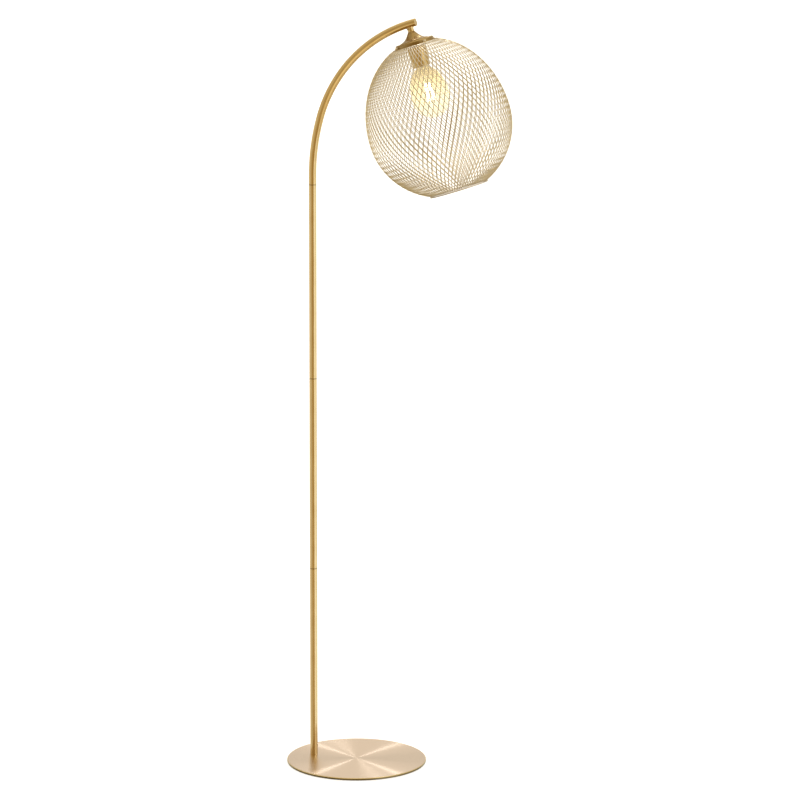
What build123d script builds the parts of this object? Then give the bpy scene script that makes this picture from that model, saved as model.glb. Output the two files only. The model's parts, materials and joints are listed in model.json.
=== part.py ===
from build123d import *
from math import asin, atan2, cos, degrees, hypot, pi, radians, sin, sqrt
import os

# A floor lamp. A round steel foot carries a post of three tubes off its middle, a bent arm tops the post,
# and a globe of expanded metal hangs under the arm's end round one screw-in bulb.
# Origin: middle of the foot's underside, on the floor. +Z up, +X from the post towards the globe.
# Every size is in millimetres, every angle in degrees.

# ---- foot
base_diameter = 300.0
base_thickness = 5.0
base_bevel = 1.2
pad_thickness = 1.5
pad_inset = 6.0
pad_hole_margin = 1.0
post_inset = 53.0

# ---- post
tube_diameter = 16.0
tube_wall = 1.2
section_length = 414.5
seam_bevel = 0.4

# ---- joints between the tubes
insert_length = 18.0
insert_clearance = 0.05
stud_diameter = 10.0
stud_reach = 14.0
thread_clearance = 0.05
wire_way = 7.2

# ---- screw that holds the post
foot_screw_diameter = 8.0
foot_screw_head = 15.6
foot_screw_engagement = 12.0
foot_screw_key = 5.0
foot_insert_length = 16.0
countersink_clearance = 0.2

# ---- arm
arm_run_past_socket = 2.0
arm_entry_radius = 446.0
arm_entry_angle = 15.8
arm_main_radius = 297.0
arm_total_angle = 74.8
neck_setback = 14.5
end_plug_flange = 1.2
end_plug_depth = 7.0
end_plug_clearance = 0.15

# ---- neck, cap and plate, from the arm down
boss_diameter = 13.2
boss_flare_diameter = 16.0
boss_flare_height = 4.0
neck_length = 8.0
bell_height = 19.2
bell_diameter = 60.0
bell_wall = 1.2
bell_wall_share = 0.8
plate_wall = 1.2
plate_depth = 8.5
plate_dish_diameter = 82.0
plate_flange = 7.0
plate_corner = 2.5
nut_width = 14.0
nut_height = 3.0

# ---- globe
shade_diameter = 302.0
shade_upper_rise = 184.5
shade_lower_drop = 149.5
shade_top_diameter = 101.0
shade_mouth_diameter = 124.0
mesh_thickness = 1.2
strand_width = 1.8
strand_count = 24
strand_angle = 25.5
selvage_width = 3.0
rim_section = 2.4
ring_thickness = 1.5
ring_width = 10.5
seat_clearance = 0.3

# ---- screws of the globe
shade_screw_count = 4
shade_screw_diameter = 3.0
shade_screw_head = 6.4
shade_screw_head_height = 3.2
shade_screw_tail = 1.5
shade_screw_offset = 0.25
shade_nut_width = 5.5
shade_nut_height = 2.4
screw_clearance = 0.1

# ---- holder
cup_drop = 2.5
cup_top_diameter = 40.0
cup_mouth_diameter = 36.5
cup_length = 44.5
cup_wall = 0.8
cup_corner = 2.5
holder_diameter = 31.0
holder_wall = 1.2
holder_neck_diameter = 15.0
holder_neck_length = 5.0
holder_shoulder = 3.0
holder_cap_wall = 1.0
holder_cap_length = 14.0
holder_skirt_length = 28.0
block_thickness = 5.4
block_overhang = 1.0
block_clearance = 0.2
shell_wall = 0.4
shell_length = 25.0
shell_lip = 4.0
contact_thickness = 0.5
contact_width = 5.0
contact_lift = 1.2
terminal_spacing = 15.0
terminal_diameter = 3.0
terminal_head = 5.0
terminal_head_height = 1.0
terminal_floor = 1.0

# ---- bulb
cap_diameter = 26.3
cap_clearance = 0.1
cap_wall = 0.5
cap_length = 26.7
cap_cone_height = 2.7
tip_diameter = 9.5
tip_height = 1.0
insulator_height = 3.5
insulator_diameter = 23.0
insulator_lip = 0.5
glass_diameter = 80.0
glass_length = 109.0
glass_upper_rise = 62.0
glass_wall = 0.8
glass_neck_diameter = 24.6
glass_neck_depth = 12.0
glass_shoulder = 2.0
stem_clearance = 0.05
stem_foot_rim = 1.0
stem_foot_height = 14.0
stem_diameter = 5.0
stem_length = 30.0
filament_count = 4
filament_diameter = 1.8
filament_length = 36.0
filament_top_radius = 5.5
filament_foot_radius = 8.5
support_diameter = 0.8
support_gap = 5.0

# ---- cable inside the post
cable_diameter = 4.0
cable_bend_clearance = 0.3
cable_stub = 1.0
core_diameter = 1.2
gland_height = 26.0
gland_bore_clearance = 0.2
gland_diameter = 8.0
gland_flange_diameter = 11.0
gland_flange_thickness = 1.5
gland_inner_reach = 1.0

# ---- worked out
base_radius = base_diameter / 2
plate_top = pad_thickness + base_thickness
tube_radius = tube_diameter / 2
tube_bore = tube_radius - tube_wall
insert_radius = tube_bore - insert_clearance
stud_radius = stud_diameter / 2
stud_hole = stud_radius + thread_clearance
way_radius = wire_way / 2
post_top = plate_top + 3 * section_length
post_x = post_inset - base_radius


def turned(*points):
    """A solid turned about Z from a closed outline of (radius, height) points."""
    outline = make_face(Polyline(*[(r, 0, z) for r, z in points], close=True))
    return revolve(outline, Axis.Z)


def joined(*curves):
    """One wire from curves that meet end to end."""
    return Wire([edge for curve in curves for edge in curve.edges()])


def drill(radius, low, high):
    """A plain round cutter about Z between two heights."""
    return Pos(0, 0, low) * Cylinder(radius, high - low, align=(Align.CENTER, Align.CENTER, Align.MIN))


def ring(outer, inner, low, high):
    """A plain ring about Z between two heights."""
    return drill(outer, low, high) - drill(inner, low - 1, high + 1)


def hex_nut(width, hole, low, high):
    """A six-sided nut about Z, given across its flats."""
    body = extrude(RegularPolygon(width / 2, 6, major_radius=False), high - low)
    return Pos(0, 0, low) * body - drill(hole, low - 1, high + 1)


pieces = {}

# ======================================================================== foot
pad_radius = base_radius - pad_inset
head_radius = foot_screw_head / 2
screw_radius = foot_screw_diameter / 2
head_depth = head_radius - screw_radius
countersink = head_radius + countersink_clearance

disc = turned(
    (0, pad_thickness),
    (base_radius - base_bevel / 2, pad_thickness),
    (base_radius, pad_thickness + base_bevel / 2),
    (base_radius, plate_top - base_bevel),
    (base_radius - base_bevel, plate_top),
    (0, plate_top),
)
screw_seat = turned(
    (0, pad_thickness),
    (countersink, pad_thickness),
    (screw_radius + countersink_clearance, pad_thickness + head_depth),
    (screw_radius + countersink_clearance, plate_top),
    (0, plate_top),
)
pieces["base_plate"] = disc - Pos(post_x, 0, 0) * screw_seat
pieces["base_pad"] = drill(pad_radius, 0, pad_thickness) - Pos(post_x, 0, 0) * drill(
    countersink + pad_hole_margin, -1, pad_thickness + 1
)
screw_end = plate_top + foot_screw_engagement
screw_core = turned(
    (0, pad_thickness),
    (head_radius, pad_thickness),
    (screw_radius, pad_thickness + head_depth),
    (screw_radius, screw_end),
    (0, screw_end),
)
key_shape = RegularPolygon(foot_screw_key / 2, 6, major_radius=False)
key_socket = Pos(0, 0, pad_thickness) * extrude(key_shape, head_depth / 2)
pieces["foot_screw"] = Pos(post_x, 0, 0) * (screw_core - key_socket)
pieces["foot_insert"] = Pos(post_x, 0, 0) * ring(
    insert_radius, screw_radius + thread_clearance, plate_top, plate_top + foot_insert_length
)

# ======================================================================== post
gland_z = plate_top + gland_height
gland_radius = gland_diameter / 2


def post_tube(low):
    """One straight tube of the post, bevelled where it meets its neighbours."""
    body = ring(tube_radius, tube_bore, low, low + section_length)
    rims = body.edges().filter_by(GeomType.CIRCLE).filter_by(lambda e: abs(e.radius - tube_radius) < 1e-3)
    return Pos(post_x, 0, 0) * chamfer(rims, seam_bevel)


def hollow_stud(seam):
    """A plug in the tube below a seam, with the threaded end that stands out of it."""
    plug = drill(insert_radius, seam - insert_length, seam) + drill(stud_radius, seam, seam + stud_reach)
    return Pos(post_x, 0, 0) * (plug - drill(way_radius, seam - insert_length - 1, seam + stud_reach + 1))


def hollow_socket(seam):
    """The plug in the tube above a seam that the stud screws into."""
    return Pos(post_x, 0, 0) * ring(insert_radius, stud_hole, seam, seam + insert_length)


seams = [plate_top + section_length * n for n in (1, 2, 3)]
gland_hole = Pos(post_x, 0, gland_z) * Rot(-90, 0, 0) * drill(gland_radius, 0, tube_diameter)
pieces["lower_tube"] = post_tube(plate_top) - gland_hole
pieces["middle_tube"] = post_tube(seams[0])
pieces["upper_tube"] = post_tube(seams[1])
for name, seam in zip(("lower_stud", "middle_stud", "upper_stud"), seams):
    pieces[name] = hollow_stud(seam)
for name, seam in zip(("middle_socket", "upper_socket", "arm_socket"), seams):
    pieces[name] = hollow_socket(seam)

# The grommet in the back of the lower tube: a flange outside, a neck through the wall, a lip inside.
cable_radius = cable_diameter / 2
gland_mouth = tube_radius + gland_flange_thickness
gland_inner = tube_bore - gland_inner_reach
gland_body = turned(
    (cable_radius + gland_bore_clearance, gland_inner),
    (gland_radius - seam_bevel, gland_inner),
    (gland_radius - seam_bevel, tube_radius),
    (gland_flange_diameter / 2, tube_radius),
    (gland_flange_diameter / 2 - seam_bevel, gland_mouth),
    (cable_radius + gland_bore_clearance, gland_mouth),
)
pieces["cord_gland"] = Pos(post_x, 0, gland_z) * Rot(-90, 0, 0) * gland_body


# ======================================================================== arm
arm_straight = insert_length + arm_run_past_socket


def arm_point(angle, radial=0.0):
    """A point of the arm's middle line where it has turned by this angle, moved outwards by radial."""
    first = min(angle, arm_entry_angle)
    x = arm_entry_radius * (1 - cos(radians(first)))
    z = arm_straight + arm_entry_radius * sin(radians(first))
    if angle > arm_entry_angle:
        x += arm_main_radius * (cos(radians(arm_entry_angle)) - cos(radians(angle)))
        z += arm_main_radius * (sin(radians(angle)) - sin(radians(arm_entry_angle)))
    x -= radial * cos(radians(angle))
    z += radial * sin(radians(angle))
    return Vector(post_x + x, 0, post_top + z)


def arm_line(angle):
    """The arm's middle line from the post up to this angle: a short straight run and two tangent arcs."""
    start = Line((post_x, 0, post_top), arm_point(0))
    entry = ThreePointArc(arm_point(0), arm_point(arm_entry_angle / 2), arm_point(arm_entry_angle))
    middle = (arm_entry_angle + angle) / 2
    return [start, entry, ThreePointArc(arm_point(arm_entry_angle), arm_point(middle), arm_point(angle))]


def arm_rod(radius):
    """A solid rod along the whole arm."""
    path = joined(*arm_line(arm_total_angle))
    return sweep(Plane((post_x, 0, post_top), z_dir=(0, 0, 1)) * Circle(radius), path)


setback_angle = degrees(neck_setback / arm_main_radius)
neck_angle = arm_total_angle - setback_angle
shade_tilt = 90 - neck_angle
neck_point = arm_point(neck_angle)

# Everything on the neck is drawn about Z with the arm's middle line at height 0, and then placed.
hang = Pos(*neck_point) * Rot(0, -shade_tilt, 0)

arm_outer = arm_rod(tube_radius)
arm_inner = arm_rod(tube_bore)
cable_hole = hang * drill(way_radius, -tube_diameter, 0)
pieces["arm_tube"] = arm_outer - arm_inner - cable_hole

arm_end = Plane(arm_point(arm_total_angle), x_dir=(0, 1, 0),
                z_dir=(sin(radians(arm_total_angle)), 0, cos(radians(arm_total_angle))))
plug = drill(tube_radius, 0, end_plug_flange)
plug += drill(tube_bore - end_plug_clearance, -end_plug_depth, 0)
plug = chamfer(plug.faces().sort_by(Axis.Z)[-1].edges(), seam_bevel)
pieces["arm_end_plug"] = arm_end.location * plug

# ======================================================================== neck
boss_radius = boss_diameter / 2
boss_end = -(tube_radius + neck_length)
flare_top = -tube_bore
boss = turned(
    (stud_hole, flare_top),
    (boss_flare_diameter / 2, flare_top),
    (boss_flare_diameter / 2, -tube_radius),
    (boss_radius, -tube_radius - boss_flare_height),
    (boss_radius, boss_end),
    (stud_hole, boss_end),
)
pieces["neck_boss"] = hang * boss - arm_outer

# The trumpet cap is spun from sheet: one curve outside, the same curve again inside.
bell_radius = bell_diameter / 2
bell_shift = bell_wall * bell_wall_share
bell_brim = boss_end - bell_height
bell_spread = bell_radius - boss_radius


def bell_curve(shift):
    """The trumpet's outline from its throat to its brim, moved in and down by shift."""
    return Bezier(
        (boss_radius - shift, 0, boss_end - shift),
        (boss_radius + 0.22 * bell_spread - shift, 0, boss_end - 0.36 * bell_height - shift),
        (boss_radius + 0.42 * bell_spread - shift, 0, boss_end - 0.90 * bell_height - shift),
        (bell_radius - shift, 0, bell_brim - shift),
    )


bell_foot = bell_brim - bell_shift
outside = bell_curve(0)
inside = bell_curve(bell_shift)
bell_ends = Polyline(inside @ 0, (stud_hole, 0, boss_end - bell_shift), (stud_hole, 0, boss_end), outside @ 0)
bell_lip = Polyline(outside @ 1, (bell_radius, 0, bell_foot), inside @ 1)
pieces["bell_cap"] = hang * revolve(make_face(joined(outside, bell_lip, inside, bell_ends)), Axis.Z)

# ======================================================================== plate and its fixings
dish_top = bell_foot
dish_radius = plate_dish_diameter / 2
flange_under = dish_top - plate_depth
flange_top = flange_under + plate_wall
flange_radius = dish_radius + plate_flange
dish = turned(
    (stud_hole, dish_top),
    (dish_radius - plate_corner, dish_top),
    (dish_radius, dish_top - plate_corner),
    (dish_radius, flange_top),
    (flange_radius, flange_top),
    (flange_radius, flange_under),
    (dish_radius - plate_wall, flange_under),
    (dish_radius - plate_wall, dish_top - plate_corner - plate_wall / 2),
    (dish_radius - plate_corner - plate_wall / 2, dish_top - plate_wall),
    (stud_hole, dish_top - plate_wall),
)
ring_under = flange_under - ring_thickness
top_radius = shade_top_diameter / 2
ring_outer = top_radius - mesh_thickness / 2 - seat_clearance
ring_inner = ring_outer - ring_width
screw_circle = dish_radius + plate_flange / 2 + shade_screw_offset
flat_ring = ring(ring_outer, ring_inner, ring_under, flange_under)
screw_spots = [Rot(0, 0, 45 + 360 * n / shade_screw_count) * Pos(screw_circle, 0, 0)
               for n in range(shade_screw_count)]
shade_screw_radius = shade_screw_diameter / 2
screw_hole = drill(shade_screw_radius + screw_clearance, ring_under - 1, flange_top + 1)
for spot in screw_spots:
    dish -= spot * screw_hole
    flat_ring -= spot * screw_hole
pieces["shade_plate"] = hang * dish
pieces["shade_top_ring"] = hang * flat_ring

nut_low = ring_under - shade_nut_height
screw_low = nut_low - shade_screw_tail
slot_width = shade_screw_head / 8
slot = Pos(0, 0, flange_top + shade_screw_head_height) * Box(shade_screw_head + 1, slot_width, 2 * slot_width)
shade_screw = turned(
    (0, screw_low),
    (shade_screw_radius, screw_low),
    (shade_screw_radius, flange_top),
    (shade_screw_head / 2, flange_top),
    (shade_screw_head / 2, flange_top + shade_screw_head_height - slot_width),
    (shade_screw_head / 2 - slot_width, flange_top + shade_screw_head_height),
    (0, flange_top + shade_screw_head_height),
) - slot
shade_nut = hex_nut(shade_nut_width, shade_screw_radius + thread_clearance, nut_low, ring_under)
pieces["shade_screws"] = Compound([hang * spot * shade_screw for spot in screw_spots])
pieces["shade_nuts"] = Compound([hang * spot * shade_nut for spot in screw_spots])

plate_nut_top = dish_top - plate_wall
pieces["plate_nut"] = hang * hex_nut(nut_width, stud_hole, plate_nut_top - nut_height, plate_nut_top)

# ======================================================================== globe of expanded metal
# The net's outline is two quarter ellipses that meet at the globe's widest line. A strand of an expanded
# sheet keeps its length between crossings, so over each step round the globe it runs the same distance,
# and it stands steeper where the globe is narrower.
shade_radius = shade_diameter / 2
mouth_radius = shade_mouth_diameter / 2
mesh_top = flange_under - seat_clearance
top_turn = asin(top_radius / shade_radius)
mouth_turn = pi - asin(mouth_radius / shade_radius)
equator = mesh_top - shade_upper_rise * cos(top_turn)
mesh_foot = equator + shade_lower_drop * cos(mouth_turn)


def net_rise(turn):
    """The half-height of the ellipse that this part of the outline follows."""
    return shade_upper_rise if turn < pi / 2 else shade_lower_drop


def net_point(turn, bearing, depth=0.0):
    """A point of the globe: turn runs from its top to its foot, bearing round it, depth inwards."""
    rise = net_rise(turn)
    radius = shade_radius * sin(turn)
    height = equator + rise * cos(turn)
    across = rise * sin(turn)
    along = shade_radius * cos(turn)
    length = hypot(across, along)
    radius -= depth * across / length
    height -= depth * along / length
    return Vector(radius * cos(bearing), radius * sin(bearing), height)


def meridian_speed(turn):
    """How far the outline runs for each radian of turn."""
    return hypot(shade_radius * cos(turn), net_rise(turn) * sin(turn))


def strand_slant(turn):
    """The angle between a strand and the outline at this turn."""
    return asin(sin(radians(strand_angle)) * sin(turn))


# The net runs between two plain bands, the selvages, at its top and at its mouth.
fine_steps = 600
net_start = top_turn + selvage_width / meridian_speed(top_turn)
net_end = mouth_turn - selvage_width / meridian_speed(mouth_turn)
fine_turn = (net_end - net_start) / fine_steps
strand_run = [0.0]
for n in range(fine_steps):
    here = net_start + (n + 0.5) * fine_turn
    strand_run.append(strand_run[-1] + meridian_speed(here) / cos(strand_slant(here)) * fine_turn)

half_step = pi / strand_count
bar_length = shade_radius * half_step / sin(radians(strand_angle))
row_count = round(strand_run[-1] / bar_length)


def row_turn(row):
    """The turn at which this row of crossings lies, counted from the top."""
    target = strand_run[-1] * row / row_count
    low = max(n for n in range(fine_steps) if strand_run[n] <= target)
    share = (target - strand_run[low]) / (strand_run[low + 1] - strand_run[low])
    return net_start + (low + share) * fine_turn


def corner(row, column, side, depth):
    """The corner of the crossing at this row and half column, on its up, down, left or right side."""
    turn = row_turn(row)
    bearing = column * half_step
    slant = strand_slant(turn)
    if side in ("up", "down"):
        slide = strand_width / 2 / sin(slant) / meridian_speed(turn)
        return net_point(turn - slide if side == "up" else turn + slide, bearing, depth)
    slide = strand_width / 2 / cos(slant) / (shade_radius * sin(turn))
    return net_point(turn, bearing - slide if side == "left" else bearing + slide, depth)


def patch(a, b, c, d):
    """A four-sided face through four corners, in order round it."""
    return Face.make_bezier_surface([[a, b], [d, c]])


def both_sides(*spots):
    """The outer and the inner face of a strand's piece, given by its corners."""
    faces = []
    for depth in (0.0, mesh_thickness):
        spot = [place(depth) for place in spots]
        flat = len(spot) == 3
        faces.append(Face(Wire.make_polygon(spot)) if flat else patch(*spot))
    return faces


def wall(first, second):
    """The edge of a hole, from the outer to the inner side of the sheet."""
    return patch(first(0.0), second(0.0), second(mesh_thickness), first(mesh_thickness))


def at(row, column, side):
    """A crossing's corner as a function of its depth in the sheet."""
    return lambda depth: corner(row, column, side, depth)


def edge_at(row, column, side):
    """The selvage's outer edge beside a crossing's corner."""
    turn = top_turn if row == 0 else mouth_turn
    slide = strand_width / 2 / cos(strand_slant(row_turn(row))) / (shade_radius * sin(row_turn(row)))
    bearing = column * half_step + (slide if side == "right" else -slide)
    return lambda depth: net_point(turn, bearing, depth)


def net_faces():
    """Every face of the net, as one closed skin."""
    faces = []
    for row in range(row_count + 1):
        for column in range(row % 2, 2 * strand_count, 2):
            up, down = at(row, column, "up"), at(row, column, "down")
            left, right = at(row, column, "left"), at(row, column, "right")
            if 0 < row < row_count:
                faces += both_sides(up, right, down, left)
            if row < row_count:
                for turn_way in (1, -1):
                    near = right if turn_way == 1 else left
                    far_up = at(row + 1, column + turn_way, "up")
                    far_side = at(row + 1, column + turn_way, "left" if turn_way == 1 else "right")
                    faces += both_sides(near, far_up, far_side, down)
                    faces.append(wall(near, far_up))
                    faces.append(wall(down, far_side))
            if row in (0, row_count):
                inner = down if row == 0 else up
                edge_left = edge_at(row, column, "left")
                edge_right = edge_at(row, column, "right")
                next_left = at(row, column + 2, "left")
                next_edge = edge_at(row, column + 2, "left")
                faces += both_sides(left, right, inner)
                faces += both_sides(edge_left, edge_right, right, left)
                faces += both_sides(edge_right, next_edge, next_left, right)
                faces.append(wall(edge_left, edge_right))
                faces.append(wall(edge_right, next_edge))
                faces.append(wall(right, next_left))
    return faces


net_skin = Shell(net_faces())
net = Solid(net_skin)
pieces["shade_mesh"] = hang * net

# The rim of the mouth: a stout wire under the net's selvage, squared off here.
rim_top = mesh_foot - seat_clearance
rim_outer = mouth_radius + rim_section / 2
pieces["shade_bottom_ring"] = hang * ring(rim_outer, rim_outer - rim_section, rim_top - rim_section, rim_top)

# ======================================================================== lamp holder
cup_top = flange_under - cup_drop
cup_mouth = cup_top - cup_length
cup_top_radius = cup_top_diameter / 2
cup_mouth_radius = cup_mouth_diameter / 2
cup = turned(
    (stud_hole, cup_top),
    (cup_top_radius - cup_corner, cup_top),
    (cup_top_radius, cup_top - cup_corner),
    (cup_mouth_radius, cup_mouth),
    (cup_mouth_radius - cup_wall, cup_mouth),
    (cup_top_radius - cup_wall, cup_top - cup_corner - cup_wall / 2),
    (cup_top_radius - cup_corner - cup_wall / 2, cup_top - cup_wall),
    (stud_hole, cup_top - cup_wall),
)
pieces["holder_cup"] = hang * cup
pieces["cup_nut"] = hang * hex_nut(nut_width, stud_hole, cup_top, cup_top + nut_height)

holder_top = cup_top - cup_wall
holder_radius = holder_diameter / 2
holder_inner = holder_radius - holder_wall
cap_foot = holder_top - holder_cap_length
neck_foot = holder_top - holder_neck_length
nipple_top = -(tube_radius + insert_clearance)
pieces["centre_nipple"] = hang * ring(stud_radius, way_radius, neck_foot, nipple_top)

holder_cap = turned(
    (stud_hole, holder_top),
    (holder_neck_diameter / 2, holder_top),
    (holder_neck_diameter / 2, neck_foot + holder_cap_wall),
    (holder_radius, neck_foot - holder_shoulder),
    (holder_radius, cap_foot),
    (holder_inner, cap_foot),
    (holder_inner, neck_foot - holder_shoulder - holder_cap_wall / 2),
    (holder_neck_diameter / 2, neck_foot - holder_cap_wall),
    (stud_hole, neck_foot - holder_cap_wall),
)
pieces["holder_cap"] = hang * holder_cap

skirt_foot = cap_foot - holder_skirt_length
pieces["holder_skirt"] = hang * ring(holder_radius, holder_inner, skirt_foot, cap_foot)

block_foot = cap_foot - block_overhang
block_top = block_foot + block_thickness
block_radius = holder_inner - block_clearance
block = drill(block_radius, block_foot, block_top)
terminals = [Pos(side * terminal_spacing / 2, 0, 0) for side in (-1, 1)]
terminal_radius = terminal_diameter / 2
terminal_low = block_foot + terminal_floor
for terminal in terminals:
    block -= terminal * drill(terminal_radius + screw_clearance, terminal_low, block_top + 1)
pieces["contact_block"] = hang * block

terminal_screw = drill(terminal_radius, terminal_low, block_top)
terminal_screw += drill(terminal_head / 2, block_top, block_top + terminal_head_height)
pieces["terminal_screws"] = Compound([hang * terminal * terminal_screw for terminal in terminals])

shell_inner = cap_diameter / 2 + cap_clearance
shell_outer = shell_inner + shell_wall
shell = turned(
    (shell_outer - shell_lip, block_foot),
    (shell_outer, block_foot),
    (shell_outer, block_foot - shell_length),
    (shell_inner, block_foot - shell_length),
    (shell_inner, block_foot - shell_wall),
    (shell_outer - shell_lip, block_foot - shell_wall),
)
pieces["screw_shell"] = hang * shell

# The centre contact is a bent strip: its fixed end lies on the block, its free end stands off it.
half_contact = contact_width / 2
leaf = Polyline(
    (-shell_inner / 2, 0, block_foot),
    (-shell_inner / 4, 0, block_foot),
    (0, 0, block_foot - contact_lift + contact_thickness),
    (half_contact, 0, block_foot - contact_lift + contact_thickness),
    (half_contact, 0, block_foot - contact_lift),
    (-contact_thickness / 2, 0, block_foot - contact_lift),
    (-shell_inner / 4 - contact_thickness / 2, 0, block_foot - contact_thickness),
    (-shell_inner / 2, 0, block_foot - contact_thickness),
    close=True,
)
pieces["centre_contact"] = hang * extrude(make_face(leaf), contact_width / 2, dir=(0, 1, 0), both=True)
side_leaf = Pos(shell_outer - shell_lip - contact_thickness - seat_clearance, 0, block_foot - contact_lift) * Box(
    contact_thickness, contact_width, contact_lift, align=(Align.MAX, Align.CENTER, Align.MIN)
)
pieces["side_contact"] = hang * side_leaf

# ======================================================================== bulb
tip_low = block_foot - contact_lift - seat_clearance
tip_foot = tip_low - tip_height
insulator_foot = tip_foot - insulator_height
cap_rim = tip_low - cap_length
cap_radius = cap_diameter / 2
insulator_radius = insulator_diameter / 2
tip_radius = tip_diameter / 2
pieces["bulb_contact"] = hang * turned(
    (0, tip_low),
    (tip_radius / 2, tip_low),
    (tip_radius, tip_foot),
    (0, tip_foot),
)
pieces["bulb_insulator"] = hang * turned(
    (0, tip_foot),
    (tip_radius + insulator_lip, tip_foot),
    (insulator_radius, insulator_foot),
    (0, insulator_foot),
)
pieces["bulb_cap"] = hang * turned(
    (0, insulator_foot),
    (insulator_radius, insulator_foot),
    (cap_radius, insulator_foot - cap_cone_height),
    (cap_radius, cap_rim),
    (cap_radius - cap_wall, cap_rim),
    (cap_radius - cap_wall, insulator_foot - cap_cone_height - cap_wall / 2),
    (insulator_radius - cap_wall / 2, insulator_foot - cap_wall),
    (0, insulator_foot - cap_wall),
)

glass_foot = cap_rim - glass_length
glass_radius = glass_diameter / 2
glass_lower_drop = glass_length - glass_upper_rise - glass_shoulder
glass_middle = glass_foot + glass_lower_drop
glass_neck_top = cap_rim + glass_neck_depth
quarter = 4 * (sqrt(2) - 1) / 3


def glass_outline(inset):
    """Half the bulb's outline from its neck to its foot, moved inwards by inset."""
    neck = glass_neck_diameter / 2 - inset
    wide = glass_radius - inset
    foot = glass_foot + inset
    shoulder = cap_rim - glass_shoulder
    rise = shoulder - glass_middle
    drop = glass_middle - foot
    return [
        Line((neck, 0, glass_neck_top), (neck, 0, shoulder)),
        Bezier(
            (neck, 0, shoulder),
            (neck + quarter * (wide - neck), 0, shoulder - 0.16 * rise),
            (wide, 0, glass_middle + quarter * rise),
            (wide, 0, glass_middle),
        ),
        Bezier(
            (wide, 0, glass_middle),
            (wide, 0, glass_middle - quarter * drop),
            (quarter * wide, 0, foot),
            (0, 0, foot),
        ),
    ]


glass_outer = glass_outline(0)
glass_inner = glass_outline(glass_wall)
glass_ends = [
    Line(glass_inner[0] @ 0, glass_outer[0] @ 0),
    Line(glass_inner[2] @ 1, glass_outer[2] @ 1),
]
pieces["bulb_glass"] = hang * revolve(make_face(joined(*glass_outer, *glass_inner, *glass_ends)), Axis.Z)

stem_top = glass_neck_top
stem_waist = stem_top - stem_foot_height
stem_foot = stem_waist - stem_length
stem_radius = stem_diameter / 2
stem_foot_radius = glass_neck_diameter / 2 - glass_wall - stem_clearance
pieces["bulb_stem"] = hang * turned(
    (0, stem_top),
    (stem_foot_radius, stem_top),
    (stem_foot_radius, stem_top - stem_foot_rim),
    (stem_radius, stem_waist),
    (stem_radius, stem_foot),
    (0, stem_foot),
)

# Four lit filaments stand round a centre rod, each between an upper and a lower spoke.
filament_top = stem_foot - support_gap
filament_low = filament_top - filament_length
support_radius = support_diameter / 2
filament_radius = filament_diameter / 2


def rod(start, end, radius):
    """A thin wire between two points, six-sided."""
    start, end = Vector(*start), Vector(*end)
    run = end - start
    return Plane(start, z_dir=run).location * extrude(RegularPolygon(radius, 6), run.length)


filament_places = [Rot(0, 0, 45 + 360 * n / filament_count) for n in range(filament_count)]
filament = rod((filament_top_radius, 0, filament_top), (filament_foot_radius, 0, filament_low), filament_radius)
pieces["bulb_filaments"] = Compound([hang * place * filament for place in filament_places])
supports = rod((0, 0, stem_foot), (0, 0, filament_low - support_gap), support_radius)
upper_spoke = rod((0, 0, stem_foot - support_radius), (filament_top_radius, 0, filament_top), support_radius)
lower_spoke = rod((0, 0, filament_low - support_gap + support_radius),
                  (filament_foot_radius, 0, filament_low), support_radius)
for place in filament_places:
    supports += place * (upper_spoke - filament)
    supports += place * (lower_spoke - filament)
pieces["bulb_wires"] = hang * supports

# ======================================================================== cable inside
# It enters at the grommet, turns up the post, follows the arm and turns down through the neck.
bend = tube_bore - cable_radius - cable_bend_clearance
turn_height = sqrt(arm_main_radius ** 2 - 2 * arm_main_radius * bend)
turn_angle = degrees(atan2(bend, turn_height))
turn_start = arm_point(neck_angle - turn_angle)
turn_low = arm_main_radius - turn_height


def on_neck(across, height):
    """A point beside the neck's axis, in the arm's own plane."""
    return (hang * Pos(across, 0, height)).position


corner_x = -bend + bend * sin(radians(45))
corner_z = -turn_low + bend * sin(radians(45))
cable_end = neck_foot - cable_stub
inlet = tube_bore
cable_path = joined(
    Line((post_x, inlet, gland_z), (post_x, bend, gland_z)),
    ThreePointArc(
        (post_x, bend, gland_z),
        (post_x, bend - bend * sin(radians(45)), gland_z + bend - bend * cos(radians(45))),
        (post_x, 0, gland_z + bend),
    ),
    Line((post_x, 0, gland_z + bend), (post_x, 0, post_top)),
    *arm_line(neck_angle - turn_angle),
    ThreePointArc(turn_start, on_neck(corner_x, corner_z), on_neck(0, -turn_low)),
    Line(on_neck(0, -turn_low), on_neck(0, cable_end)),
)
pieces["inner_cable"] = sweep(
    Plane((post_x, inlet, gland_z), z_dir=(0, -1, 0)) * RegularPolygon(cable_radius, 8), cable_path
)

core_low = block_top + terminal_head_height + core_diameter / 2 + seat_clearance
cores = []
for side in (-1, 1):
    start = (side * cable_radius / 2, 0, cable_end - core_diameter / 2 - seat_clearance)
    end = (side * terminal_spacing / 2, 0, core_low)
    cores.append(hang * rod(start, end, core_diameter / 2))
pieces["core_wires"] = Compound(cores)

os.makedirs("parts", exist_ok=True)
for name, piece in pieces.items():
    export_step(piece, os.path.join("parts", name + ".step"))

print("rows of the net", row_count, "crossings", strand_count * (row_count - 1))
print("height of the arm", round(arm_point(arm_total_angle).Z, 1))
print("tilt of the globe", round(shade_tilt, 2), "neck at", tuple(round(v, 1) for v in neck_point))
print("globe from", round(mesh_top, 1), "to", round(mesh_foot, 1), "widest at", round(equator, 1))
print("bulb from", round(tip_low, 1), "to", round(glass_foot, 1), "cup mouth", round(cup_mouth, 1))
print("holder from", round(holder_top, 1), "nipple end", round(neck_foot, 1), "block top", round(block_top, 1))
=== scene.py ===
import json
import math

import bpy
from mathutils import Matrix, Vector


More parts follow.
